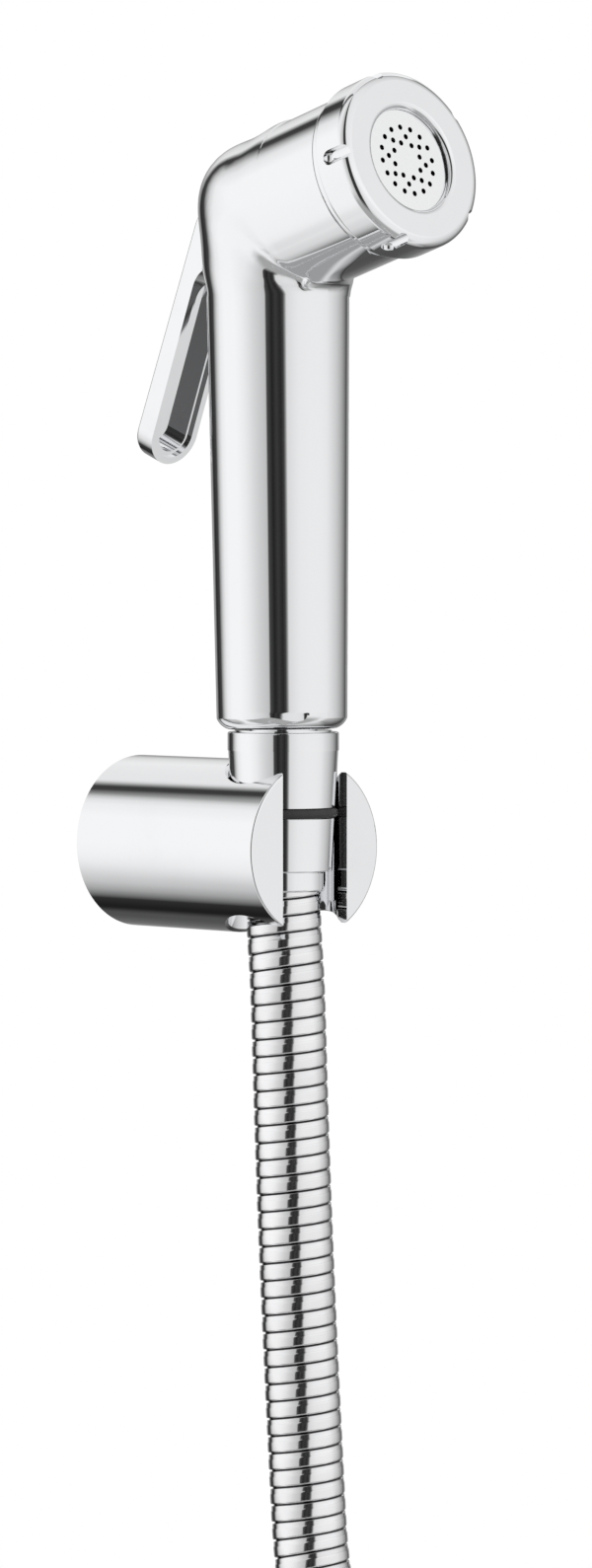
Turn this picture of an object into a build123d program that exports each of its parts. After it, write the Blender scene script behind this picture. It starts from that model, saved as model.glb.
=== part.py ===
"""Handheld bidet shower: a chrome handset in a wall bracket, with its metal hose."""

import os
from math import asin, atan, cos, pi, radians, sin, sqrt, tan

from build123d import *

# The wall is the plane Y = 0, the room is on its -Y side and +Z is up.
# The origin is where the bracket's axis meets the wall. Sizes are in millimetres.

# Bracket
bracket_diameter = 37.6
bracket_length = 55.7
bracket_edge = 0.5
cradle_depth = 45.8  # from the wall to the upright bore
cradle_bore = 23.8
cradle_chamfer = 0.7
slot_width = 19.0
plate_diameter = 30.0
plate_thickness = 10.0
plate_clearance = 0.15
recess_spare = 3.0  # room between the plate and the bottom of the recess
screw_spacing = 17.0
screw_hole = 4.5
screw_head = 8.6
grub_diameter = 4.0
grub_length = 5.0
grub_from_wall = 5.0
grub_socket = 2.0
groove_depth = 1.6

# Handle
handle_bottom = 25.6
handle_length = 92.6
handle_bottom_diameter = 28.1
handle_top_diameter = 30.7
handle_lean = 0.8  # degrees, backwards
shoulder_radius = 3.6

# Barrel and elbow
barrel_tilt = 15.5  # degrees above the horizontal
barrel_diameter = 36.2
crotch_radius = 3.0
elbow_sharpness = 10.0
elbow_flare = 4.4  # degrees that the back leans out above the handle
elbow_sections = 8
oval_steps = 8
head_reach = 38.0  # from the handset's axis to the spray plate
head_height = 146.0

# Spray head
bezel_diameter = 38.8
bezel_length = 8.7
bezel_edge = 2.2
lip_diameter = 22.4
lip_edge = 1.2
face_recess = 1.6
notch_count = 5
notch_width = 3.2
notch_depth = 1.5
notch_length = 6.8
notch_phase = 33.0
trim_diameter = 37.4
trim_width = 2.6
trim_edge = 1.0
seam_gap = 0.1
spigot_diameter = 33.0
thread_clearance = 0.1
plate_disc_thickness = 2.0
seal_thickness = 1.5
hole_diameter = 1.2
ring_radii = (3.9, 5.3, 7.3)
ring_counts = (8, 8, 16)
ring_turns = (13.1, -9.4, 1.85)  # degrees to each ring's first hole
chamber_diameter = 26.0
chamber_length = 17.0

# Waterway and valve
inlet_bore = 11.0
riser_diameter = 9.0
riser_offset = 7.0
passage_diameter = 10.0
passage_above_valve = 12.5
valve_height = 127.0
valve_body_diameter = 10.8
valve_back = 7.4  # from the handset's axis to the floor of the lever slot
gland_length = 3.6
seat_length = 6.4
seat_bore = 6.0
seat_wall = 1.2
spring_chamber_diameter = 7.6
spring_chamber_length = 9.0
stem_diameter = 4.0
stem_clearance = 0.05
stem_edge = 1.4
poppet_diameter = 6.8
poppet_thickness = 1.4
washer_thickness = 1.2
gland_ring_wire = 1.6
spring_wire = 0.6
spring_diameter = 5.2
spring_turns = 4.5

# Lever
lever_width = 13.0
lever_reach = 57.2  # from the pin to the tip, along the lever
lever_lean = 22.8  # degrees from upright
lever_top_thickness = 4.8
lever_tip_thickness = 5.6
lever_boss = 10.8
lever_set_back = 1.35  # of the head's centre behind the pin, square to the arm
lever_edge = 0.7
pivot_height = 135.0
pivot_back = 13.6
pin_diameter = 3.0
pin_running_gap = 0.05
pin_half_length = 9.4
lever_side_gap = 0.25
slot_floor_gap = 0.4
slot_spare = 5.4  # from the cheek down to the slot's end
slot_mouth = 18.6
cheek_radius = 6.0
cheek_bottom = 125.0
cheek_front = 11.3
tip_gap = 0.15
pocket_start = 12.5
pocket_rim = 1.5
pocket_step = 0.8
pocket_ledge = 1.2
pocket_depth = 3.9

# Cone nut and inlet
nut_top = 25.0
nut_length = 30.0
nut_collar = 4.0
nut_top_diameter = 24.0
nut_cone_diameter = 23.7
nut_bottom_diameter = 21.1
nut_edge = 0.4
thread_diameter = 20.9
thread_length = 10.0
thread_relief = 0.6
nut_bore = 17.4
nipple_diameter = 15.0
nipple_length = 10.0
inlet_ring_wire = 1.2
foot_gap = 0.25
ring_height = 7.6
ring_wire = 2.2
ring_proud = 0.65
cone_washer_thickness = 2.0

# Hose
hose_diameter = 16.2
hose_start = -6.0
tube_bore = 9.0
ferrule_diameter = 18.2
ferrule_bottom = -9.3
ferrule_edge = 0.6
sleeve_diameter = 16.8
flange_diameter = 19.6
flange_thickness = 1.6
barb_reach = 10.0  # into the hose
barb_pitch = 4.0
barb_bore = 6.4
barb_step = 0.5
hose_gap = 0.2
fit_gap = 0.1

# Far end of the hose
end_nut_across = 24.0
end_nut_length = 14.0
end_nut_collar = 3.0
end_cup_length = 10.0
end_straight = 12.0
end_neck = 4.0
spin_gap = 0.1
floor_height = -244.1
coil_radius = 108.0
coil_pitch = 17.0  # from one turn to the next
coil_steps = 11
coil_step_turn = 30.0  # degrees
inner_radius = 82.0
inner_steps = 3
tie_width = 10.0
tie_thickness = 0.6
tie_gap = 0.4
tie_turn = 3.0  # degrees along the coil

# The middle of the hose from the handset down to the floor, as (forward, height) pairs.
# Forward is away from the wall, measured from the cradle's axis.
hanging_route = [
    (0, hose_start), (0, -16), (1.4, -29), (2.4, -56), (4.2, -90), (6.5, -124), (9.4, -163),
    (24, -197), (50, -222), (83.5, floor_height + hose_diameter / 2),
    (120, floor_height + hose_diameter / 2)]

# What follows from the sizes above
bore_radius = cradle_bore / 2
bracket_radius = bracket_diameter / 2
handle_top = handle_bottom + handle_length
barrel_radius = barrel_diameter / 2
seat_diameter = valve_body_diameter - 0.2


def turned(*corners):
    """A solid of revolution about Z from the (radius, height) corners of its section."""
    section = make_face(Polyline(*corners, close=True))
    return revolve(Plane.XZ * section, Axis.Z)


def rod(diameter, bottom, top):
    """A plain round bar on the Z axis."""
    bar = Cylinder(diameter / 2, top - bottom, align=(Align.CENTER, Align.CENTER, Align.MIN))
    return Pos(0, 0, bottom) * bar


def ring(outer, inner, bottom, top):
    """A plain ring about the Z axis."""
    return rod(outer, bottom, top) - rod(inner, bottom - 1, top + 1)


# Wall bracket


def bracket_body():
    """Round bar with an upright bore, a slot to the front and a recess for the wall plate."""
    along_y = Rot(X=90)
    body = along_y * rod(bracket_diameter, 0, bracket_length)
    body = fillet(body.faces().sort_by(Axis.Y)[0].edges(), bracket_edge)
    cradle = Pos(0, -cradle_depth, 0) * rod(cradle_bore, -bracket_diameter, bracket_diameter)
    body -= cradle
    slot_depth = bracket_length - cradle_depth
    slot = Box(slot_width, slot_depth + 1, bracket_diameter + 2,
               align=(Align.CENTER, Align.MAX, Align.CENTER))
    body -= Pos(0, -cradle_depth, 0) * slot
    rims = [e for e in body.edges() if abs(e.center().Z) > bracket_radius / 2
            and abs((e @ 0.5).X**2 + ((e @ 0.5).Y + cradle_depth) ** 2 - bore_radius**2) < 0.1]
    body = chamfer(rims, cradle_chamfer)
    recess = rod(plate_diameter + 2 * plate_clearance, -1, plate_thickness + recess_spare)
    body -= along_y * recess
    grub_hole = rod(grub_diameter + 2 * fit_gap, -bracket_radius - 1, 0)
    return body - Pos(0, -grub_from_wall, 0) * grub_hole


def wall_plate():
    """Turned plate with a groove for the grub screw and two countersunk screw holes."""
    radius = plate_diameter / 2
    half_groove = grub_diameter / 2 + fit_gap
    plate = turned(
        (0, 0), (radius, 0), (radius, grub_from_wall - half_groove),
        (radius - groove_depth, grub_from_wall - half_groove),
        (radius - groove_depth, grub_from_wall + half_groove),
        (radius, grub_from_wall + half_groove), (radius, plate_thickness), (0, plate_thickness))
    sink = (screw_head - screw_hole) / 2
    hole = turned(
        (0, -1), (screw_hole / 2, -1), (screw_hole / 2, plate_thickness - sink),
        (screw_head / 2 + 1, plate_thickness + 1), (0, plate_thickness + 1))
    for side in (-1, 1):
        plate -= Pos(0, side * screw_spacing / 2, 0) * hole
    return Rot(X=90) * plate


def bracket_grub_screw():
    """Socket screw that comes up from below and bears in the plate's groove."""
    top = -(plate_diameter / 2 - groove_depth) - fit_gap
    screw = rod(grub_diameter, top - grub_length, top)
    across = grub_socket / sqrt(3)
    socket = extrude(Pos(0, 0, top - grub_length) * RegularPolygon(across, 6), grub_length / 2)
    return Pos(0, -grub_from_wall, 0) * (screw - socket)


# Handset, built about its own upright axis and then moved to the cradle


def in_cradle(piece):
    """Moves a piece of the handset from the origin to the bracket's bore."""
    return Pos(0, -cradle_depth, 0) * piece


def lean_at(height):
    """How far back the handle's centre lies at a height."""
    return height * tan(radians(handle_lean))


def head_shoulder():
    """How far behind the spray plate the barrel ends."""
    return bezel_length - face_recess + seam_gap + trim_width


def head_plane():
    """Plane of the spray plate's front, facing along the barrel."""
    tilt = radians(barrel_tilt)
    return Plane(origin=(0, -head_reach, head_height), x_dir=(1, 0, 0),
                 z_dir=(0, -cos(tilt), sin(tilt)))


def elbow_frame():
    """The crotch's centre (Y, Z), and the barrel's axis distance and station from it."""
    tilt = radians(barrel_tilt)
    front = lean_at(handle_top) - handle_top_diameter / 2
    centre_y = front - crotch_radius
    # The barrel's underside passes the same distance above this centre.
    reach = barrel_radius + crotch_radius
    along = (head_reach + centre_y + reach * sin(tilt)) / cos(tilt)
    centre_z = head_height - along * sin(tilt) - reach * cos(tilt)
    return centre_y, centre_z, reach, along


def oval_half(half_width, half_depth, first):
    """Half an ellipse as a spline, from a turn in quarter circles."""
    turns = [(first + 2 * number / oval_steps) * pi / 2 for number in range(oval_steps + 1)]
    points = [(half_width * cos(turn), half_depth * sin(turn)) for turn in turns]
    ends = [(-half_width * sin(turn), half_depth * cos(turn)) for turn in (turns[0], turns[-1])]
    return Spline(*points, tangents=ends)


def oval(half_width, half_depth):
    """Ellipse of two halves that meet in the handset's middle plane."""
    return make_face([oval_half(half_width, half_depth, first) for first in (-1, 1)])


def elbow_section(share):
    """Section of the elbow on a plane turned about the crotch, from handle (0) to barrel (1)."""
    centre_y, centre_z, reach, _ = elbow_frame()
    turn = radians(90 - barrel_tilt)
    angle = share * turn
    flare = radians(elbow_flare)
    back = (crotch_radius + handle_top_diameter) * cos(flare) / cos(angle + flare)
    top = (reach + barrel_radius) / cos(turn - angle)
    outer = (back**-elbow_sharpness + top**-elbow_sharpness) ** (-1 / elbow_sharpness)
    middle = (outer + crotch_radius) / 2
    widen = 1 - (1 - share) ** 2
    half_width = handle_top_diameter / 2 + (barrel_radius - handle_top_diameter / 2) * widen
    plane = Plane(
        origin=(0, centre_y + middle * cos(angle), centre_z + middle * sin(angle)),
        x_dir=(1, 0, 0), z_dir=(0, -sin(angle), cos(angle)))
    return plane * oval(half_width, (outer - crotch_radius) / 2)


def handle_plane(share):
    """Plane across the leaning handle, from its foot (0) to the elbow (1)."""
    height = handle_bottom + share * handle_length
    lean = radians(handle_lean)
    return Plane(origin=(0, lean_at(height), height), x_dir=(1, 0, 0),
                 z_dir=(0, sin(lean), cos(lean)))


def handle_radius(share):
    """Radius of the handle between its foot (0) and the elbow (1)."""
    return (handle_bottom_diameter * (1 - share) + handle_top_diameter * share) / 2


def foot_cutter():
    """Ring that rounds the handle's foot; its arc crosses the foot and the side at an angle."""
    centre = handle_radius(0) - shoulder_radius
    radius = shoulder_radius + 0.3
    rim = [(centre + radius * sin(radians(turn)), radius - 0.15 - radius * cos(radians(turn)))
           for turn in (0, 40, 80)]
    far = 2 * handle_radius(0)
    rest = Polyline(rim[-1], (far, rim[-1][1]), (far, -1), (centre, -1), rim[0])
    return revolve(Plane.XZ * make_face([ThreePointArc(*rim), rest]), Axis.Z)


def handset_skin():
    """Outer form: a tapered handle with a rounded foot, a lofted elbow and a round barrel."""
    _, _, _, station = elbow_frame()
    foot = handle_radius(0)
    sections = [elbow_section(share / elbow_sections) for share in range(elbow_sections + 1)]
    skin = loft([handle_plane(0) * oval(foot, foot), sections[0]])
    skin += loft(sections)
    skin += extrude(sections[-1], station - head_shoulder())
    return skin - handle_plane(0) * foot_cutter()


def slot_centres():
    """Heights of the centres of the slot's lower and upper rounds."""
    half = lever_width / 2 + lever_side_gap
    low = cheek_bottom - slot_spare + half
    crown = pivot_height + lever_set_back * sin(radians(lever_lean))
    high = crown + lever_boss / 2 + slot_floor_gap - half
    return low, high


def lever_slot():
    """Upright obround slot in the back, in which the lever's head and the gland sit."""
    half = lever_width / 2 + lever_side_gap
    low, high = slot_centres()
    back_face = Plane(origin=(0, valve_back, (low + high) / 2), x_dir=(1, 0, 0), z_dir=(0, 1, 0))
    return extrude(back_face * Rot(Z=90) * SlotCenterToCenter(high - low, 2 * half), 30)


def along_valve(piece):
    """Lays a piece on the valve's axis, its +Z towards the lever."""
    return Pos(0, 0, valve_height) * Rot(X=-90) * piece


def handset_body():
    """Moulded body with the spigot for the head, the waterway and the lever's slot."""
    shoulder = head_shoulder()
    spigot_front = plate_disc_thickness + seal_thickness
    body = handset_skin()
    body += head_plane() * rod(spigot_diameter, -shoulder - 1, -spigot_front)
    body -= head_plane() * rod(chamber_diameter, -spigot_front - chamber_length, 0)
    passage_height = valve_height + passage_above_valve
    passage_end = lean_at(valve_height) + 2
    passage = Rot(X=90) * rod(passage_diameter, -passage_end, head_reach - chamber_length)
    body -= Pos(0, 0, passage_height) * passage
    gland_front = valve_back - gland_length
    seat_front = gland_front - seat_length
    port_centre = gland_front - seat_length / 2
    body -= Pos(0, port_centre, 0) * rod(seat_wall * 4, valve_height, passage_height)
    body -= along_valve(rod(valve_body_diameter, seat_front, valve_back + 1))
    spring_end = seat_front - spring_chamber_length
    body -= along_valve(rod(spring_chamber_diameter, spring_end, seat_front + 1))
    riser_low = handle_bottom + nipple_length + inlet_bore / 2
    body -= Pos(0, -riser_offset, 0) * rod(riser_diameter, riser_low, valve_height)
    body -= rod(nipple_diameter + fit_gap, handle_bottom - 1, handle_bottom + nipple_length)
    body -= rod(inlet_bore, handle_bottom, riser_low + riser_diameter / 2)
    body -= lever_slot()
    pin_hole = rod(pin_diameter + 0.04, -pin_half_length, bracket_diameter)
    body -= Pos(0, pivot_back, pivot_height) * Rot(Y=90) * pin_hole
    return in_cradle(body)


def head_trim_ring():
    """Rounded ring that fills the joint between barrel and bezel."""
    back = bezel_length - face_recess + seam_gap
    band = ring(trim_diameter, spigot_diameter + 2 * thread_clearance, -back - trim_width, -back)
    outer = band.edges().filter_by(GeomType.CIRCLE).group_by(lambda e: e.radius)[-1]
    return in_cradle(head_plane() * fillet(outer, trim_edge))


def head_bezel():
    """Ring nut with a rounded front, a lip over the spray plate and finger notches."""
    back = face_recess - bezel_length
    bore = spigot_diameter / 2 + thread_clearance
    bezel = turned(
        (bezel_diameter / 2, back), (bezel_diameter / 2, face_recess),
        (lip_diameter / 2, face_recess), (lip_diameter / 2, 0), (bore, 0), (bore, back))
    front = bezel.edges().filter_by(GeomType.CIRCLE).group_by(Axis.Z)[-1]
    rim = front.sort_by(lambda e: e.radius)
    bezel = fillet(rim[-1], bezel_edge)
    lip = bezel.edges().filter_by(GeomType.CIRCLE).group_by(Axis.Z)[-1].sort_by(lambda e: e.radius)
    bezel = fillet(lip[0], lip_edge)
    cutter_radius = notch_width / 2
    tool = rod(notch_width, 0, notch_length) + Sphere(cutter_radius)
    tool = Pos(bezel_diameter / 2 + cutter_radius - notch_depth, 0,
               face_recess - notch_length + cutter_radius) * tool
    for number in range(notch_count):
        bezel -= Rot(Z=notch_phase + number * 360 / notch_count) * tool
    return in_cradle(head_plane() * bezel)


def nozzle_disc():
    """Spray plate with three rings of holes."""
    disc = rod(spigot_diameter - 2 * thread_clearance, -plate_disc_thickness, -0.02)
    disc -= ring(spigot_diameter, lip_diameter - 2 * thread_clearance, -0.1, 0.1)
    disc += rod(lip_diameter - 4 * thread_clearance, -0.1, 0)
    hole = rod(hole_diameter, -plate_disc_thickness - 1, 1)
    for radius, count, first in zip(ring_radii, ring_counts, ring_turns):
        for number in range(count):
            turn = Rot(Z=first + number * 360 / count)
            disc -= turn * Pos(radius, 0, 0) * hole
    return in_cradle(head_plane() * disc)


def nozzle_seal():
    """Flat seal between spray plate and spigot."""
    seal = ring(spigot_diameter - 4 * thread_clearance, chamber_diameter,
                -plate_disc_thickness - seal_thickness, -plate_disc_thickness)
    return in_cradle(head_plane() * seal)


# Valve and lever


def valve_gland():
    """Threaded plug that guides the stem in the floor of the lever slot."""
    front = valve_back - gland_length
    groove = gland_ring_wire + fit_gap
    ring_outer = stem_diameter / 2 + gland_ring_wire + fit_gap
    bore = stem_diameter / 2 + stem_clearance
    gland = turned(
        (bore, front + groove), (ring_outer, front + groove), (ring_outer, front),
        (seat_diameter / 2, front), (seat_diameter / 2, valve_back), (bore, valve_back))
    return in_cradle(along_valve(gland))


def gland_o_ring():
    """Ring that seals the stem in the gland."""
    front = valve_back - gland_length
    middle = stem_diameter / 2 + stem_clearance + gland_ring_wire / 2
    seal = Torus(middle, gland_ring_wire / 2)
    return in_cradle(along_valve(Pos(0, 0, front + gland_ring_wire / 2) * seal))


def valve_seat():
    """Sleeve with the seat at its front and a window up to the passage."""
    back = valve_back - gland_length
    front = back - seat_length
    outer = seat_diameter / 2
    inner = outer - seat_wall
    sleeve = turned(
        (seat_bore / 2, front), (outer, front), (outer, back), (inner, back),
        (inner, front + seat_wall), (seat_bore / 2, front + seat_wall))
    window = Pos(0, 0, (front + back) / 2) * Rot(X=90) * rod(seat_wall * 3, 0, bracket_diameter)
    return in_cradle(along_valve(sleeve - window))


def stem_front():
    """Where the washer rests on the seat, along the valve's axis."""
    return valve_back - gland_length - seat_length


def valve_stem():
    """Stem with a rounded end for the lever and a disc that carries the washer."""
    disc_back = stem_front() - washer_thickness
    stem = rod(stem_diameter, disc_back, cheek_front - tip_gap)
    stem = fillet(stem.edges().sort_by(Axis.Z)[-1], stem_edge)
    stem += rod(poppet_diameter, disc_back - poppet_thickness, disc_back)
    return in_cradle(along_valve(stem))


def valve_washer():
    """Rubber washer that closes the seat."""
    back = stem_front()
    washer = ring(poppet_diameter, stem_diameter + 2 * stem_clearance,
                  back - washer_thickness, back)
    return in_cradle(along_valve(washer))


def valve_spring():
    """Coil spring that presses the washer on its seat."""
    start = stem_front() - spring_chamber_length + spring_wire / 2 + fit_gap
    end = stem_front() - washer_thickness - poppet_thickness - spring_wire / 2 - fit_gap
    radius = (spring_diameter - spring_wire) / 2
    path = Helix((end - start) / spring_turns, end - start, radius)
    section = Plane(origin=path @ 0, z_dir=path % 0) * Circle(spring_wire / 2)
    return in_cradle(along_valve(Pos(0, 0, start) * sweep(section, path, is_frenet=True)))


def lever_profile():
    """Side view of the lever, in (back, up) about its pin."""
    lean = radians(lever_lean)
    down = Vector(sin(lean), -cos(lean))
    out = Vector(cos(lean), sin(lean))
    boss = lever_boss / 2
    top_outer = out * (boss + lever_set_back)
    tip_outer = top_outer + down * (lever_reach + lever_boss / 2)
    tip_inner = tip_outer - out * lever_tip_thickness
    start = top_outer + down * (pivot_height - cheek_bottom + cheek_radius)
    inner_start = start - out * lever_top_thickness
    cheek_top = Vector(inner_start.X - cheek_radius, cheek_bottom - pivot_height)
    front = cheek_front - pivot_back
    outline = [
        Line(top_outer, tip_outer), Line(tip_outer, tip_inner), Line(tip_inner, inner_start),
        TangentArc(inner_start, cheek_top, tangent=inner_start - tip_inner),
        Line(cheek_top, (front, cheek_bottom - pivot_height)),
        Line((front, cheek_bottom - pivot_height), (front, 0)),
        Line((front, 0), top_outer)]
    crown = out * lever_set_back
    return make_face(Curve() + outline) + Pos(crown.X, crown.Y) * Circle(boss)


def lever_face(depth):
    """Plane on the lever's inner side at a depth, X across and +Y towards the tip."""
    lean = radians(lever_lean)
    wedge = atan((lever_tip_thickness - lever_top_thickness)
                 / (lever_reach - (pivot_height - cheek_bottom + cheek_radius)))
    slope = lean - wedge
    out = Vector(0, cos(lean), sin(lean))
    down = Vector(0, sin(lean), -cos(lean))
    tip = Vector(0, pivot_back, pivot_height) + down * lever_reach
    tip += out * (lever_boss / 2 + lever_set_back - lever_tip_thickness)
    inward = Vector(0, -cos(slope), -sin(slope))
    return Plane(origin=tip - inward * depth, x_dir=(-1, 0, 0), z_dir=inward)


def pocket(margin, depth):
    """Obround cut in the lever's inner side, at a margin from its outline."""
    half = lever_width / 2 - margin
    length = lever_reach - 2 * margin - pocket_start
    shape = SlotOverall(length, 2 * half)
    middle = lever_face(depth) * Pos(0, -margin - length / 2, 0) * Rot(Z=90) * shape
    return extrude(middle, lever_boss)


def lever_plan():
    """Plan of the lever on its inner side: straight flanks and a round tip at the origin."""
    half = lever_width / 2
    flanks = Pos(0, -half - lever_reach, 0) * Rectangle(lever_width, 2 * lever_reach)
    return flanks + Pos(0, -half, 0) * Circle(half)


def head_trimmer():
    """What lies outside the rounded head: above it, and round it where it is in the slot."""
    half = lever_width / 2
    low, high = slot_centres()
    back_view = Plane(origin=(0, 0, 0), x_dir=(1, 0, 0), z_dir=(0, -1, 0))
    centre = high - slot_floor_gap
    head = back_view * (Pos(0, centre) * Circle(half))
    above = back_view * (Pos(0, centre + half) * Rectangle(4 * half, 2 * half))
    top = extrude(above, 2 * bracket_diameter, both=True)
    top -= extrude(head, 2 * bracket_diameter, both=True)
    foot = back_view * (Pos(0, low) * Circle(half))
    below = Plane(origin=(0, slot_mouth, 0), x_dir=(1, 0, 0), z_dir=(0, -1, 0))
    block = extrude(below * (Pos(0, low - half) * Rectangle(4 * half, 2 * half)), slot_mouth)
    return top + (block - extrude(foot, 2 * bracket_diameter, both=True))


def is_outer(edge):
    """Whether an edge of the lever borders its outer side, all but the line at the head."""
    lean = radians(lever_lean)
    middle = edge @ 0.5
    out = (middle.Y - pivot_back) * cos(lean) + (middle.Z - pivot_height) * sin(lean)
    below = (middle.Z - pivot_height) < lever_boss * 0.45
    straight_across = abs((edge % 0.5).X) > 0.99 and abs(middle.X) < 0.1
    outermost = abs(out - lever_boss / 2 - lever_set_back) < 0.05
    return outermost and below and not straight_across


def trigger_lever():
    """Lever with a round head on the pin, a rounded tip and a stepped pocket."""
    side = Plane(origin=(0, pivot_back, pivot_height), x_dir=(0, 1, 0), z_dir=(1, 0, 0))
    lever = extrude(side * lever_profile(), lever_width / 2, both=True)
    lever &= extrude(lever_face(0) * lever_plan(), 2 * lever_boss, both=True)
    lever -= head_trimmer()
    outside = [edge for edge in lever.edges() if is_outer(edge)]
    lever = fillet(outside, lever_edge)
    lever -= pocket(pocket_rim, pocket_step)
    lever -= pocket(pocket_rim + pocket_ledge, pocket_depth)
    bore = rod(pin_diameter + 2 * pin_running_gap, -lever_width, lever_width)
    lever -= Pos(0, pivot_back, pivot_height) * Rot(Y=90) * bore
    return in_cradle(lever)


def lever_pin():
    """Cross pin through the lever's head."""
    pin = rod(pin_diameter, -pin_half_length + fit_gap, pin_half_length)
    return in_cradle(Pos(0, pivot_back, pivot_height) * Rot(Y=90) * pin)


# Inlet, cone nut and upper hose end


def nut_radius(height):
    """Outer radius of the cone nut's taper at a height."""
    taper = (nut_cone_diameter - nut_bottom_diameter) / 2 / (nut_length - nut_collar)
    return nut_cone_diameter / 2 - (nut_top - nut_collar - height) * taper


def inlet_nipple():
    """Half inch thread under the handle, with a shank and a ring groove inside it."""
    bore = inlet_bore / 2
    shank = nipple_diameter / 2
    floor = shank - inlet_ring_wire
    low = handle_bottom + nipple_length / 2
    high = low + inlet_ring_wire + fit_gap
    nipple = turned(
        (bore, nut_top - thread_length), (thread_diameter / 2, nut_top - thread_length),
        (thread_diameter / 2, handle_bottom - foot_gap), (shank, handle_bottom - foot_gap),
        (shank, low), (floor, low), (floor, high), (shank, high),
        (shank, handle_bottom + nipple_length), (bore, handle_bottom + nipple_length))
    return in_cradle(nipple)


def cone_nut():
    """Tapered union nut that hangs in the cradle, with a groove for its ring."""
    bottom = nut_top - nut_length
    seat = nut_top - thread_length - cone_washer_thickness - flange_thickness - 2 * fit_gap
    thread = thread_diameter / 2 + fit_gap
    groove_floor = nut_radius(ring_height) + ring_proud - ring_wire
    half = ring_wire / 2 + fit_gap
    nut = turned(
        (thread, nut_top), (nut_top_diameter / 2, nut_top),
        (nut_top_diameter / 2, nut_top - nut_collar), (nut_cone_diameter / 2, nut_top - nut_collar),
        (nut_radius(ring_height + half), ring_height + half), (groove_floor, ring_height + half),
        (groove_floor, ring_height - half), (nut_radius(ring_height - half), ring_height - half),
        (nut_bottom_diameter / 2, bottom), (nut_bore / 2, bottom),
        (nut_bore / 2, seat), (thread, seat))
    rims = nut.edges().filter_by(GeomType.CIRCLE)
    ends = [rims.group_by(Axis.Z)[k].sort_by(lambda e: e.radius)[-1] for k in (0, -1)]
    return in_cradle(fillet(ends, nut_edge))


def cone_o_ring():
    """Rubber ring that keeps the nut from rattling in the cradle."""
    middle = nut_radius(ring_height) + ring_proud - ring_wire / 2
    return in_cradle(Pos(0, 0, ring_height) * Torus(middle, ring_wire / 2))


def inlet_o_ring():
    """Seal between the nipple's shank and the handle."""
    height = handle_bottom + nipple_length / 2 + (inlet_ring_wire + fit_gap) / 2
    seal = Torus((nipple_diameter - inlet_ring_wire) / 2 + fit_gap / 4, inlet_ring_wire / 2)
    return in_cradle(Pos(0, 0, height) * seal)


def hose_washer(seat):
    """Flat washer under a seat on the Z axis."""
    return ring(thread_diameter - 2 * fit_gap, inlet_bore, seat - cone_washer_thickness, seat)


def hose_insert(flange_top, reach):
    """Flanged insert, pointing down, with barbs that grip the hose's inner tube."""
    flange_bottom = flange_top - flange_thickness
    tip = tube_bore / 2 - hose_gap
    corners = [(barb_bore / 2, flange_top), (flange_diameter / 2, flange_top),
               (flange_diameter / 2, flange_bottom), (tip, flange_bottom)]
    barb_count = round(reach / barb_pitch)
    for number in range(barb_count):
        top = flange_bottom - number * barb_pitch
        root = top - barb_pitch / 3
        corners += [(tip, root), (tip - barb_step, root), (tip, top - barb_pitch)]
    corners += [(barb_bore / 2, flange_bottom - barb_count * barb_pitch)]
    return turned(*corners)


def hose_ferrule(flange_bottom, neck, cup_top, cup_bottom):
    """Turned sleeve on a hose end: a neck under the insert's flange and a cup for the hose."""
    hose_bore = hose_diameter / 2 + hose_gap
    inner = tube_bore / 2
    sleeve = turned(
        (inner, flange_bottom), (sleeve_diameter / 2, flange_bottom), (sleeve_diameter / 2, neck),
        (ferrule_diameter / 2, neck), (ferrule_diameter / 2, cup_bottom),
        (hose_bore, cup_bottom), (hose_bore, cup_top), (inner, cup_top))
    low = sleeve.edges().filter_by(GeomType.CIRCLE).group_by(Axis.Z)[0]
    return fillet(low.sort_by(lambda e: e.radius)[-1], ferrule_edge)


# Hose


def corner_radii(route):
    """Radius of each corner's arc: 0.45 of its shorter run, over the half turn's tangent."""
    radii = []
    for before, corner, after in zip(route, route[1:], route[2:]):
        half_turn = radians((corner - before).get_angle(after - corner)) / 2
        shorter = min((corner - before).length, (after - corner).length)
        radii.append(0.45 * shorter / tan(half_turn))
    return radii


def hose_tube(path):
    """Round hose along a path, with its volume checked against section times length."""
    section = Circle(hose_diameter / 2) - Circle(tube_bore / 2)
    tube = sweep(Plane(origin=path @ 0, z_dir=path % 0) * section, path)
    print("hose", round(path.length, 1), "mm, volume over section times length",
          round(tube.volume / (section.area * path.length), 4))
    return tube


def hose_run():
    """Hose from the ferrule down to the floor."""
    route = [Vector(0, -cradle_depth - forward, height) for forward, height in hanging_route]
    radii = corner_radii(route)
    print("hose radii", [round(radius) for radius in radii])
    return hose_tube(FilletPolyline(*route, radius=radii))


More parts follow.
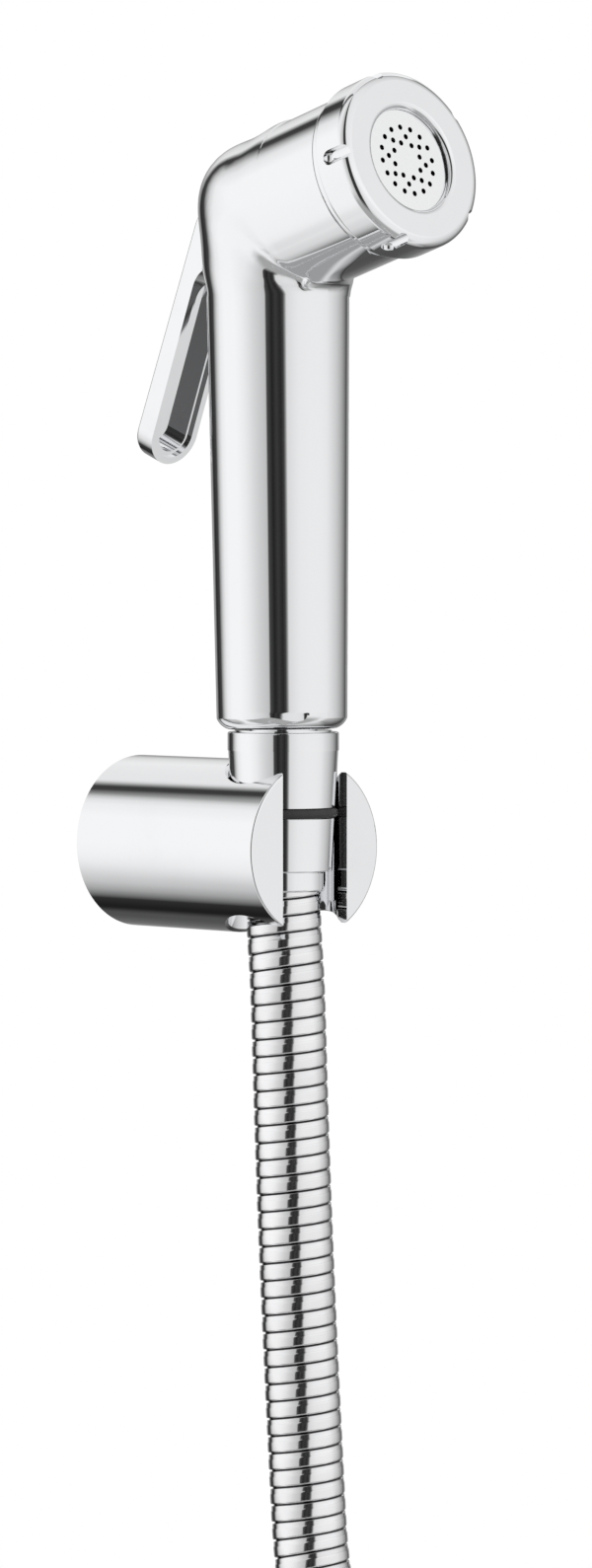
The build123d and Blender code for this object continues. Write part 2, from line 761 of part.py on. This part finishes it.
def coil_arcs():
    """Arcs of the coil: a flat turn that winds in, then a tighter end that rises to the nut."""
    forward, height = hanging_route[-1]
    start = Vector(0, -cradle_depth - forward, height)
    heading = Vector(0, -1, 0)
    rise = end_nut_across / 2 - hose_diameter / 2
    arcs = []
    for step in range(coil_steps + inner_steps):
        radius = inner_radius
        if step < coil_steps:
            radius = coil_radius - coil_pitch * (step + 0.5) * coil_step_turn / 360
        upright = (Vector(0, 0, 1) - heading * heading.Z).normalized()
        side = upright.cross(heading)
        tilt = 0
        steps_left = coil_steps + inner_steps - step
        if steps_left <= 2:
            length = radius * radians(coil_step_turn)
            tilt = asin(rise * radius / length**2) * (1 if steps_left == 2 else -1)
        normal = upright * cos(tilt) + side * sin(tilt)
        plane = Plane(origin=start, x_dir=heading, z_dir=normal)
        arc = plane * JernArc((0, 0), (1, 0), radius, -coil_step_turn)
        arcs.append(arc)
        start = arc @ 1
        heading = arc % 1
    return arcs


def hose_coil():
    """The rest of the hose, wound in a coil on the floor."""
    arcs = coil_arcs()
    end = arcs[-1]
    straight = Line(end @ 1, end @ 1 + (end % 1) * end_straight)
    path = Wire([arc.edge() for arc in arcs] + [straight.edge()])
    return hose_tube(path)


def coil_tie():
    """Strap round the two turns that lie side by side."""
    arcs = coil_arcs()
    share = tie_turn / coil_step_turn
    outer = arcs[0] @ share
    second = arcs[round(360 / coil_step_turn)].edge()
    inner = second.closest_points(Vertex(outer))[0]
    heading = arcs[0] % share
    side = heading.cross(Vector(0, 0, 1))
    across = (inner - outer).dot(side)
    middle = outer + side * (across / 2) - heading * (tie_width / 2)
    hollow = hose_diameter + 2 * tie_gap
    plane = Plane(origin=middle, x_dir=side, z_dir=heading)
    strap = SlotCenterToCenter(across, hollow + 2 * tie_thickness)
    strap -= SlotCenterToCenter(across, hollow)
    return extrude(plane * strap, tie_width)


def end_plane():
    """Plane across the hose's far end, facing out of it."""
    last = coil_arcs()[-1]
    heading = last % 1
    across = heading.cross(Vector(0, 0, 1))
    return Plane(origin=last @ 1 + heading * end_straight, x_dir=across, z_dir=heading)


def end_nut():
    """Loose hexagonal union nut with a round collar, its thread towards +Z."""
    shoulder = end_neck + end_nut_collar
    mouth = end_neck + end_nut_length
    thread = thread_diameter / 2 + fit_gap
    hexagon = RegularPolygon(end_nut_across / sqrt(3), 6)
    nut = extrude(Pos(0, 0, end_neck) * hexagon, end_nut_length)
    corner = end_nut_across / sqrt(3)
    relief = corner - end_nut_across / 2
    cone = turned((0, end_neck), (end_nut_across / 2, end_neck), (corner, end_neck + relief / 2),
                  (corner, mouth - relief / 2), (end_nut_across / 2, mouth), (0, mouth))
    nut &= cone
    nut -= rod(sleeve_diameter + 2 * spin_gap, end_neck - 1, mouth)
    nut -= rod(2 * thread, shoulder, mouth + 1)
    relief_end = shoulder + flange_thickness + cone_washer_thickness
    nut -= rod(2 * thread + thread_relief, shoulder, relief_end)
    return end_plane() * nut


def end_ferrule():
    """Ferrule of the far end, along the end plane's +Z."""
    flange_bottom = end_neck + end_nut_collar
    return end_plane() * hose_ferrule(flange_bottom, end_neck - fit_gap, 0, -end_cup_length)


def end_insert():
    """Insert of the far end."""
    flange_bottom = end_neck + end_nut_collar
    return end_plane() * hose_insert(flange_bottom + flange_thickness, flange_bottom + barb_reach)


def end_washer():
    """Washer inside the union nut."""
    seat = end_neck + end_nut_collar + flange_thickness + cone_washer_thickness
    return end_plane() * hose_washer(seat)


# Union at the top of the hose


def top_flange():
    """Height of the top of the upper insert's flange."""
    return nut_top - thread_length - cone_washer_thickness


def cone_washer():
    """Washer between the nipple and the hose's insert."""
    return in_cradle(hose_washer(top_flange() + cone_washer_thickness))


def hose_insert_top():
    """Insert of the upper end."""
    reach = top_flange() - flange_thickness - hose_start + barb_reach
    return in_cradle(hose_insert(top_flange(), reach))


def hose_ferrule_top():
    """Ferrule of the upper end, with the short collar that shows under the nut."""
    neck = nut_top - nut_length - 3 * fit_gap
    return in_cradle(
        hose_ferrule(top_flange() - flange_thickness, neck, hose_start, ferrule_bottom))


nodes = {
    "bracket_body": bracket_body,
    "wall_plate": wall_plate,
    "bracket_grub_screw": bracket_grub_screw,
    "handset_body": handset_body,
    "head_trim_ring": head_trim_ring,
    "head_bezel": head_bezel,
    "nozzle_disc": nozzle_disc,
    "nozzle_seal": nozzle_seal,
    "valve_seat": valve_seat,
    "valve_gland": valve_gland,
    "gland_o_ring": gland_o_ring,
    "valve_stem": valve_stem,
    "valve_washer": valve_washer,
    "valve_spring": valve_spring,
    "trigger_lever": trigger_lever,
    "lever_pin": lever_pin,
    "inlet_nipple": inlet_nipple,
    "inlet_o_ring": inlet_o_ring,
    "cone_nut": cone_nut,
    "cone_o_ring": cone_o_ring,
    "cone_washer": cone_washer,
    "hose_insert_top": hose_insert_top,
    "hose_ferrule_top": hose_ferrule_top,
    "hose_run": hose_run,
    "hose_coil": hose_coil,
    "coil_tie": coil_tie,
    "hose_insert_end": end_insert,
    "hose_ferrule_end": end_ferrule,
    "end_nut": end_nut,
    "end_washer": end_washer,
}

os.makedirs("parts", exist_ok=True)
for name, make in nodes.items():
    piece = make()
    piece.label = name
    export_step(piece, f"parts/{name}.step")
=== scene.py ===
"""Handheld bidet shower in chrome: materials, metal hose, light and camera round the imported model."""

from math import asin, cos, pi, radians, sin, tan

import bpy
from mathutils import Matrix, Vector


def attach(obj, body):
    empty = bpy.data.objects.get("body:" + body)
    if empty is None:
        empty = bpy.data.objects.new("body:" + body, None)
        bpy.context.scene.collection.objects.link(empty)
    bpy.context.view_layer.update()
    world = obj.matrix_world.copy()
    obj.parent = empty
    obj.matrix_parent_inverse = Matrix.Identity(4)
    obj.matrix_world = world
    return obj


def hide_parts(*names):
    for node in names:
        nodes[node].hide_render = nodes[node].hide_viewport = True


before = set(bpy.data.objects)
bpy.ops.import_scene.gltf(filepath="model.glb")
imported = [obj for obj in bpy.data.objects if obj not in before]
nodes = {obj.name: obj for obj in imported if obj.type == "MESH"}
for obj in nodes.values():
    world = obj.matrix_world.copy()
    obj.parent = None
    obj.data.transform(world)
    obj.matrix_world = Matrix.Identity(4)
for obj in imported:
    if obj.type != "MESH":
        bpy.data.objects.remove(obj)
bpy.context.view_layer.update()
scene = bpy.context.scene

# Camera
# It stands to the left front of the wall bracket and a little above it, with a long lens,
# and frames the handset from its head down to the first stretch of hose.
camera_data = bpy.data.cameras.new("camera")
camera_data.lens = 147.26
camera_data.sensor_width = 36.0
camera_data.clip_start = 0.05
camera_data.clip_end = 20.0
camera = bpy.data.objects.new("camera", camera_data)
scene.collection.objects.link(camera)
azimuth, elevation = radians(-43.53), radians(2.32)
back = Vector((sin(azimuth) * cos(elevation), -cos(azimuth) * cos(elevation), sin(elevation)))
camera.location = (-0.94835, -1.04809, 0.0696)
camera.rotation_euler = back.to_track_quat("Z", "Y").to_euler()
scene.camera = camera

# Metal hose
# Double-lock hose of chromed brass strip: the strip is wound in a helix, and each turn's edge
# hooks under the next, so a smooth wide land and a narrow shadowed gap alternate along it.
hose_radius = 0.0081
hose_pitch = 0.0037
floor_height = -0.2441
cradle_y = -0.0458
route = [Vector((0, cradle_y - forward, height)) for forward, height in (
    (0, -0.006), (0, -0.016), (0.0014, -0.029), (0.0024, -0.056), (0.0042, -0.090),
    (0.0065, -0.124), (0.0094, -0.163), (0.024, -0.197), (0.050, -0.222),
    (0.0835, floor_height + hose_radius))]

# The put-away length goes once round on the floor and then inside its own first turn.
coil_start = Vector((0, cradle_y - 0.120, floor_height + hose_radius))
coil_radius, coil_turn_pitch, inner_radius = 0.108, 0.017, 0.082
coil_arcs, inner_arcs, turn_arcs = 11, 3, 12
arc_turn = 2 * pi / turn_arcs
end_height, end_straight = 0.012, 0.012
end_rise = end_height - hose_radius
heading = Vector((0, -1, 0))
place = coil_start.copy()
for arc in range(coil_arcs + inner_arcs):
    if arc < coil_arcs:
        bend = coil_radius - coil_turn_pitch * (arc + 0.5) / turn_arcs
    else:
        bend = inner_radius
    upright = (Vector((0, 0, 1)) - heading * heading.z).normalized()
    side = upright.cross(heading)
    left = coil_arcs + inner_arcs - arc
    tilt = 0
    if left <= 2:
        run = bend * arc_turn
        tilt = asin(end_rise * bend / run ** 2) * (1 if left == 2 else -1)
    turn_axis = upright * cos(tilt) + side * sin(tilt)
    reach = bend * tan(arc_turn / 2)
    route.append(place + heading * reach)
    place = place + heading * reach
    heading = (Matrix.Rotation(-arc_turn, 3, turn_axis) @ heading).normalized()
    place = place + heading * reach
route.append(place + heading * end_straight)


def smooth_line(name, points, detail):
    """Evaluated points of a NURBS line through the hose's route."""
    curve = bpy.data.curves.new(name, "CURVE")
    curve.dimensions = "3D"
    spline = curve.splines.new("NURBS")
    spline.points.add(len(points) - 1)
    for control, point in zip(spline.points, points):
        control.co = (*point, 1)
    spline.order_u = 3
    spline.use_endpoint_u = True
    spline.resolution_u = detail
    carrier = bpy.data.objects.new(name, curve)
    scene.collection.objects.link(carrier)
    bpy.context.view_layer.update()
    line = bpy.data.meshes.new_from_object(carrier)
    found = [vertex.co.copy() for vertex in line.vertices]
    bpy.data.objects.remove(carrier)
    bpy.data.meshes.remove(line)
    bpy.data.curves.remove(curve)
    return found


def add_piece(name, points, faces, body):
    """A new smooth piece from points and faces, riding on a body."""
    mesh = bpy.data.meshes.new(name)
    mesh.from_pydata(points, [], faces)
    mesh.polygons.foreach_set("use_smooth", [True] * len(mesh.polygons))
    mesh.update()
    piece = bpy.data.objects.new(name, mesh)
    scene.collection.objects.link(piece)
    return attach(piece, body)


line_detail = 24
hose_line = smooth_line("hose_line", route, line_detail)
travelled = [0.0]
for before, after in zip(hose_line, hose_line[1:]):
    travelled.append(travelled[-1] + (after - before).length)
hose_length = travelled[-1]

# Frames are carried along the line without twist, so the helix keeps its pitch.
tangents = [(b - a).normalized() for a, b in zip(hose_line, hose_line[1:])]
tangents.append(tangents[-1])
normals = [Vector((1, 0, 0))]
for before, after in zip(tangents, tangents[1:]):
    carried = normals[-1].copy()
    carried.rotate(before.rotation_difference(after))
    normals.append((carried - after * carried.dot(after)).normalized())


def hose_frame(distance):
    """Centre, side and up vectors of the hose at a distance along it."""
    low, high = 0, len(travelled) - 1
    while high - low > 1:
        middle = (low + high) // 2
        if travelled[middle] <= distance:
            low = middle
        else:
            high = middle
    share = (distance - travelled[low]) / (travelled[high] - travelled[low])
    share = min(max(share, 0.0), 1.0)
    centre = hose_line[low].lerp(hose_line[high], share)
    across = normals[low].lerp(normals[high], share).normalized()
    ahead = tangents[low].lerp(tangents[high], share).normalized()
    return centre, across, ahead.cross(across)


# Section of one turn of the strip: share of the pitch, and depth under the outside.
strip_section = ((0.00, 0.00065), (0.025, 0.00024), (0.05, 0.00016), (0.27, 0.00014), (0.30, 0.00008),
                 (0.33, 0.00002), (0.38, 0.0), (0.80, 0.0), (0.87, 0.00006), (0.905, 0.00024),
                 (0.925, 0.00065))
groove_depth = 0.0005
around = 28
turns = round(hose_length / hose_pitch)
rows = len(strip_section)
hose_points, hose_faces, groove = [], [], []
for turn in range(-1, turns + 1):
    for share, depth in strip_section:
        # Points deeper than groove_depth are marked, and the hose material paints them near black:
        # painted shade in the gap between turns.
        groove.extend([1.0 if depth > groove_depth else 0.0] * around)
        for step in range(around):
            distance = hose_pitch * (turn + share + step / around)
            distance = min(max(distance, 0.0), hose_length)
            centre, across, up = hose_frame(distance)
            angle = 2 * pi * step / around
            spoke = across * cos(angle) + up * sin(angle)
            hose_points.append(centre + spoke * (hose_radius - depth))
row_count = (turns + 2) * rows
for row in range(row_count - rows - 1):
    for step in range(around):
        here = row * around + step
        if step < around - 1:
            beside = here + 1
        else:
            beside = (row + rows) * around
        hose_faces.append((here, beside, beside + around, here + around))
hose = add_piece("metal_hose", hose_points, hose_faces, "shower")
hose.data.attributes.new("groove", "FLOAT", "POINT").data.foreach_set("value", groove)
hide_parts("hose_run", "hose_coil")


class Shade:
    """One output of a shader node, with the maths that makes further nodes."""

    def __init__(self, tree, socket):
        self.tree = tree
        self.socket = socket

    def math(self, operation, other=None, swapped=False):
        """A maths node on this output, and on another value where it needs two."""
        values = (other, self) if swapped else (self, other)
        return node(self.tree, "ShaderNodeMath", {"operation": operation},
                    {i: v for i, v in enumerate(values) if v is not None})

    def __add__(self, other):
        return self.math("ADD", other)

    def __sub__(self, other):
        return self.math("SUBTRACT", other)

    def __rsub__(self, other):
        return self.math("SUBTRACT", other, swapped=True)

    def __mul__(self, other):
        return self.math("MULTIPLY", other)

    __radd__ = __add__
    __rmul__ = __mul__

    def step(self, low, high):
        """Rises smoothly from 0 at low to 1 at high."""
        return node(self.tree, "ShaderNodeMapRange", {"interpolation_type": "SMOOTHSTEP"},
                    {"Value": self, "From Min": low, "From Max": high})


def node(tree, kind, settings=None, inputs=None, output=0):
    """A node with its settings, then the values or links of its sockets."""
    made = tree.nodes.new(kind)
    for name, value in (settings or {}).items():
        if name == "stops":
            ramp = made.color_ramp
            while len(ramp.elements) < len(value):
                ramp.elements.new(1.0)
            for element, (place, colour) in zip(ramp.elements, value):
                element.position = place
                element.color = (*colour, 1.0)
        else:
            setattr(made, name, value)
    for name, value in (inputs or {}).items():
        if isinstance(value, Shade):
            tree.links.new(value.socket, made.inputs[name])
        else:
            made.inputs[name].default_value = value
    return Shade(tree, made.outputs[output] if made.outputs else None)


def material(name, roughness=0.05, metallic=1.0, colour=(0.8, 0.8, 0.8)):
    """An empty material with a Principled shader of fixed values, and its tree and shader."""
    made = bpy.data.materials.new(name)
    made.use_nodes = True
    tree = made.node_tree
    shader = tree.nodes["Principled BSDF"]
    shader.inputs["Base Color"].default_value = (*colour, 1.0)
    shader.inputs["Roughness"].default_value = roughness
    shader.inputs["Metallic"].default_value = metallic
    return made, tree, shader


def feed(tree, shader, socket, value):
    """Links a value to one of the shader's sockets."""
    tree.links.new(value.socket, shader.inputs[socket])


def object_place(tree):
    """Position on the piece, in metres."""
    return node(tree, "ShaderNodeTexCoord", output=3)


def noise(tree, scale, detail=3.0, roughness=0.5):
    """Soft noise over the piece."""
    return node(tree, "ShaderNodeTexNoise", {}, {
        "Vector": object_place(tree), "Scale": scale, "Detail": detail, "Roughness": roughness})


def bump(tree, height, distance):
    """Surface relief from a height, as deep as the distance."""
    return node(tree, "ShaderNodeBump", {}, {"Height": height, "Distance": distance})


hose_metal, tree, shader = material("hose_chrome", 0.08)
feed(tree, shader, "Roughness", noise(tree, 260.0, 4.0) * 0.10 + 0.05)
plated = node(tree, "ShaderNodeMix", {"data_type": "RGBA"}, {
    0: noise(tree, 90.0, 2.0).step(0.35, 0.7), 6: (0.84, 0.84, 0.85, 1), 7: (0.89, 0.89, 0.90, 1)},
    output=2)
# Marked groove points get a near-black base colour: painted shade in the gap between turns, not the
# metal's own colour.
painted_groove_shade = node(tree, "ShaderNodeAttribute", {"attribute_name": "groove"}, output=2)
feed(tree, shader, "Base Color", node(tree, "ShaderNodeMix", {"data_type": "RGBA"}, {
    0: painted_groove_shade, 6: plated, 7: (0.04, 0.04, 0.042, 1)}, output=2))
feed(tree, shader, "Normal", bump(tree, noise(tree, 500.0, 1.0), 0.000008))
hose.data.materials.append(hose_metal)


def dress(made, *names):
    """Gives a material to CAD nodes."""
    for name in names:
        mesh = nodes[name].data
        mesh.materials.clear()
        mesh.materials.append(made)


# Chromed bodies
# Bracket, trim ring, bezel, lever, nipple, nuts and ferrules are plated bright chrome over
# moulded plastic or turned brass: a mirror with a faint waviness and the odd wiped smear.
chrome, tree, shader = material("bright_chrome", 0.04, 1.0, (0.86, 0.865, 0.875))
smear = noise(tree, 38.0, 5.0, 0.6).step(0.45, 0.75)
feed(tree, shader, "Roughness", smear * 0.05 + 0.03)
feed(tree, shader, "Base Color", node(tree, "ShaderNodeMix", {"data_type": "RGBA"}, {
    0: smear, 6: (0.87, 0.875, 0.885, 1), 7: (0.84, 0.845, 0.855, 1)}, output=2))
feed(tree, shader, "Normal", bump(tree, noise(tree, 45.0, 0.0), 0.000003))
dress(chrome, "bracket_body", "head_trim_ring", "head_bezel", "trigger_lever", "cone_nut",
      "inlet_nipple", "hose_ferrule_top", "hose_ferrule_end", "end_nut")

# Handset
# One moulding of handle, elbow and barrel, plated bright. The handle is a leaning cone and the
# barrel a cylinder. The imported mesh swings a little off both, so the shading is worked out
# from their true rounds.
handle_lean, handle_taper = radians(0.8), 0.014
handle_low, foot_blend = 0.0296, 0.0004
handle_fade, barrel_fade = (1.0, 26.0), (50.0, 73.5)  # degrees round the inner corner
corner_y, corner_z = cradle_y - 0.0167, 0.1182
barrel_tilt = radians(15.5)
barrel_axis = Vector((0, -cos(barrel_tilt), sin(barrel_tilt)))
barrel_end = Vector((0, cradle_y - 0.038, 0.146))
barrel_near, barrel_blend = 0.0100, 0.0001
polished, tree, shader = material("handset_chrome", 0.04, 1.0, (0.865, 0.87, 0.88))
smear = noise(tree, 38.0, 5.0, 0.6).step(0.45, 0.75)
feed(tree, shader, "Roughness", smear * 0.05 + 0.03)
across, along_y, up_z = (
    node(tree, "ShaderNodeSeparateXYZ", {}, {0: object_place(tree)}, output=i) for i in range(3))
from_axis = along_y - up_z * tan(handle_lean) - cradle_y
spread = (across * across + from_axis * from_axis).math("SQRT")
handle_round = node(tree, "ShaderNodeVectorMath", {"operation": "NORMALIZE"}, {
    0: node(tree, "ShaderNodeCombineXYZ", {}, {
        0: across, 1: from_axis, 2: spread * -handle_taper - from_axis * tan(handle_lean)})})
to_barrel = node(tree, "ShaderNodeVectorMath", {"operation": "SUBTRACT"}, {
    0: object_place(tree), 1: barrel_end})
station = node(tree, "ShaderNodeVectorMath", {"operation": "DOT_PRODUCT"}, {
    0: to_barrel, 1: -barrel_axis}, output=1)
barrel_round = node(tree, "ShaderNodeVectorMath", {"operation": "NORMALIZE"}, {
    0: node(tree, "ShaderNodeVectorMath", {"operation": "SUBTRACT"}, {
        0: to_barrel,
        1: node(tree, "ShaderNodeVectorMath", {"operation": "PROJECT"}, {
            0: to_barrel, 1: barrel_axis})})})
turn = (up_z - corner_z).math("ARCTAN2", along_y - corner_y) * (180 / pi)
on_handle = up_z.step(handle_low - foot_blend, handle_low) * (1 - turn.step(*handle_fade))
on_barrel = station.step(barrel_near - barrel_blend, barrel_near) * turn.step(*barrel_fade)
moulded = node(tree, "ShaderNodeTexCoord", output=1)
on_moulding = node(tree, "ShaderNodeMix", {"data_type": "VECTOR"}, {
    0: on_handle, 4: moulded, 5: handle_round}, output=1)
feed(tree, shader, "Normal", node(tree, "ShaderNodeMix", {"data_type": "VECTOR"}, {
    0: on_barrel, 4: on_moulding, 5: barrel_round}, output=1))
dress(polished, "handset_body")

# Spray plate
# A thin plate drilled with rings of spray holes, held in the bezel with a flat seal behind it.
# It has the same plating, a little more satin than the rim round it.
plate_chrome, tree, shader = material("spray_plate_chrome", 0.10, 1.0, (0.92, 0.925, 0.93))
feed(tree, shader, "Roughness", noise(tree, 400.0, 3.0) * 0.06 + 0.06)
feed(tree, shader, "Normal", bump(tree, noise(tree, 900.0, 2.0), 0.00001))
dress(plate_chrome, "nozzle_disc")

# Seals
# Black rubber rings and washers, moulded, with a matt skin. The rings sit in grooves, and the
# washers under the nuts, on the valve seat and behind the spray plate.
rubber, tree, shader = material("black_rubber", 0.55, 0.0, (0.02, 0.02, 0.021))
feed(tree, shader, "Roughness", noise(tree, 800.0, 3.0) * 0.25 + 0.42)
feed(tree, shader, "Normal", bump(tree, noise(tree, 1500.0, 2.0), 0.00003))
dress(rubber, "cone_o_ring", "inlet_o_ring", "gland_o_ring", "nozzle_seal", "valve_washer",
      "cone_washer", "end_washer")

# Turned brass
# Hose inserts, valve seat, gland and wall plate are turned from brass bar and left bare, so
# they are duller than the plated parts and a little tarnished in places.
brass, tree, shader = material("turned_brass", 0.28, 1.0, (0.71, 0.53, 0.25))
feed(tree, shader, "Roughness", noise(tree, 300.0, 3.0) * 0.15 + 0.2)
feed(tree, shader, "Base Color", node(tree, "ShaderNodeMix", {"data_type": "RGBA"}, {
    0: noise(tree, 120.0, 3.0), 6: (0.74, 0.56, 0.27, 1), 7: (0.62, 0.45, 0.20, 1)}, output=2))
dress(brass, "hose_insert_top", "hose_insert_end", "valve_seat", "valve_gland", "wall_plate")

# Steel parts
# Stem, spring, cross pin and grub screw are stainless steel, from drawn wire or ground bar,
# with a soft sheen that varies a little along them.
steel, tree, shader = material("drawn_steel", 0.3, 1.0, (0.62, 0.62, 0.63))
feed(tree, shader, "Roughness", noise(tree, 500.0, 3.0) * 0.15 + 0.22)
dress(steel, "valve_stem", "valve_spring", "lever_pin", "bracket_grub_screw")

# Coil strap
# A white plastic strap, pulled tight round the put-away turns to hold them together. Its
# skin has a fine moulded grain.
strap, tree, shader = material("strap_plastic", 0.45, 0.0, (0.85, 0.85, 0.84))
feed(tree, shader, "Roughness", noise(tree, 600.0, 3.0) * 0.2 + 0.35)
feed(tree, shader, "Normal", bump(tree, noise(tree, 1200.0, 2.0), 0.00004))
dress(strap, "coil_tie")

# Floor
# A pale round floor under the coil. It fades into the white room before its edge, and the
# metal doesn't mirror it.
floor_radius, floor_sides, strap_proud = 0.62, 96, 0.001
floor_turns = [2 * pi * side / floor_sides for side in range(floor_sides)]
floor_points = [(0, 0, 0)] + [
    (floor_radius * cos(turn), floor_radius * sin(turn), 0) for turn in floor_turns]
floor_mesh = bpy.data.meshes.new("floor")
floor_mesh.from_pydata(floor_points, [], [
    (0, 1 + side, 1 + (side + 1) % floor_sides) for side in range(floor_sides)])
floor = bpy.data.objects.new("floor", floor_mesh)
scene.collection.objects.link(floor)
floor.location = (-0.04, -0.12, floor_height - strap_proud)
floor.visible_glossy = False
floor_finish, tree, shader = material("pale_floor", 0.9, 0.0, (0.80, 0.80, 0.80))
radial = node(tree, "ShaderNodeVectorMath", {"operation": "LENGTH"},
              {0: object_place(tree)}, output=1)
fade = radial.step(0.28, 0.56)
white = node(tree, "ShaderNodeEmission", {}, {"Color": (1, 1, 1, 1), "Strength": 1.0})
painted = Shade(tree, shader.outputs[0])
mixed = node(tree, "ShaderNodeMixShader", {}, {0: fade, 1: painted, 2: white})
tree.links.new(mixed.socket, tree.nodes["Material Output"].inputs["Surface"])
floor_mesh.materials.append(floor_finish)

# Room
# A white studio. The metal mirrors two tall soft boxes with a dark gap between them, where
# the camera stands, and a grey table low between them. Behind the boxes it mirrors dark
# edges, and beyond those a sweep that is dark at its foot and nearly white higher up.
world = bpy.data.worlds.new("studio")
scene.world = world
world.use_nodes = True
tree = world.node_tree
tree.nodes.clear()
direction = node(tree, "ShaderNodeTexCoord")
view_back = Vector((back.x, back.y, 0)).normalized()
view_right = Vector((-view_back.y, view_back.x, 0))


def along(vector):
    """Share of the looked-in direction that lies along a vector."""
    return node(tree, "ShaderNodeVectorMath", {"operation": "DOT_PRODUCT"},
                {0: direction, 1: vector}, output=1)


ahead, sideways, upward = along(view_back), along(view_right), along(Vector((0, 0, 1)))
bearing = sideways.math("ARCTAN2", ahead) * (180 / pi)
height = upward.math("ARCSINE") * (180 / pi)


def profile(value, low, high, stops):
    """Level along an angle, from stops of angle and level."""
    share = node(tree, "ShaderNodeMapRange", {}, {
        "Value": value, "From Min": low, "From Max": high})
    return node(tree, "ShaderNodeValToRGB", {"stops": [
        ((angle - low) / (high - low), (level, level, level)) for angle, level in stops]},
        {"Fac": share})


# The left box's far edge isn't straight: it reaches further back from 20 to 30 degrees up,
# and less far from 38.
turned = bearing.math("ABSOLUTE")
on_left = 1 - bearing.step(-0.5, 0.5)
no_bend, bend_span = 0.5, 40.0
edge_bend = profile(height, -90.0, 90.0, (
    (-90, no_bend), (2, no_bend), (20, 0.22), (30, 0.18), (38, 0.72), (90, 0.72)))
outward = turned + (edge_bend - no_bend) * bend_span * turned.step(60.0, 110.0) * on_left
left_box = profile(outward, 0.0, 180.0, (
    (0, 0.03), (4, 0.045), (11, 0.017), (19.5, 0.07), (21.5, 0.58), (27, 0.635), (34, 0.69),
    (42, 0.765), (51, 0.866), (59, 0.946), (68, 1.0), (77, 1.04), (98, 1.04), (110, 0.95),
    (118, 0.72), (125, 0.38), (131, 0.06), (143, 0.03)))
right_box = profile(outward, 0.0, 180.0, (
    (0, 0.03), (3.5, 0.023), (8, 0.06), (11, 0.31), (13.5, 0.78), (19, 0.823), (26, 0.874),
    (34, 0.918), (50, 0.94), (67, 0.94), (77, 0.93), (87, 0.90), (97, 0.80), (110, 0.67),
    (124, 0.475), (143, 0.156), (150, 0.04)))
near_rise = profile(height, -90.0, 90.0, (
    (-90, 0.70), (-60, 0.90), (-40, 0.96), (0, 1.0), (22, 1.0), (35, 0.90), (60, 0.86),
    (90, 0.80)))
far_rise = profile(height, -90.0, 90.0, (
    (-90, 0.50), (-60, 0.80), (-52, 0.80), (-45, 0.44), (-38, 0.58), (-29, 0.73), (-18, 0.87),
    (-8, 0.96), (0, 1.0), (22, 1.0), (35, 0.90), (60, 0.86), (90, 0.80)))
rise = near_rise + (far_rise - near_rise) * turned.step(88.0, 106.0)
behind = profile(height, -90.0, 90.0, (
    (-90, 0.06), (-35, 0.07), (-22, 0.14), (-8, 0.32), (9, 0.32), (19, 0.70), (30, 0.90),
    (50, 0.84), (90, 0.80)))
right_gain, table_level, rear_lift = 0.1, 0.42, 20.0
bright_right = right_box * (1 + height.step(4.0, 18.0) * right_gain)
sides = bright_right + (left_box - bright_right) * on_left
table = (1 - height.step(-44.0, -22.0)) * (1 - turned.step(66.0, 88.0))
rear = (turned + height.step(31.0, 41.0) * rear_lift).step(146.0, 158.0)
lit = sides * rise
level = lit + (table_level - lit) * table + behind * rear
seen = node(tree, "ShaderNodeLightPath", output=3)
shown = node(tree, "ShaderNodeMix", {"data_type": "FLOAT"}, {0: seen, 2: 1.0, 3: level})
backdrop = node(tree, "ShaderNodeBackground", {}, {"Color": (1, 1, 1, 1), "Strength": shown})
node(tree, "ShaderNodeOutputWorld", {}, {"Surface": backdrop})

# Key lamp
# One large lamp above and to the left draws the soft shadow on the floor; the metal
# doesn't mirror it.
lamp_data = bpy.data.lights.new("key", "AREA")
lamp_data.shape = "RECTANGLE"
lamp_data.size = lamp_data.size_y = 1.2
lamp_data.energy = 14.0
lamp = bpy.data.objects.new("key", lamp_data)
scene.collection.objects.link(lamp)
lamp_aim = Vector((0, -0.1, -0.2))
lamp.location = (-1.1, -0.9, 1.7)
lamp.rotation_euler = (lamp.location - lamp_aim).to_track_quat("Z", "Y").to_euler()
lamp.visible_glossy = False

scene.view_settings.view_transform = "Standard"
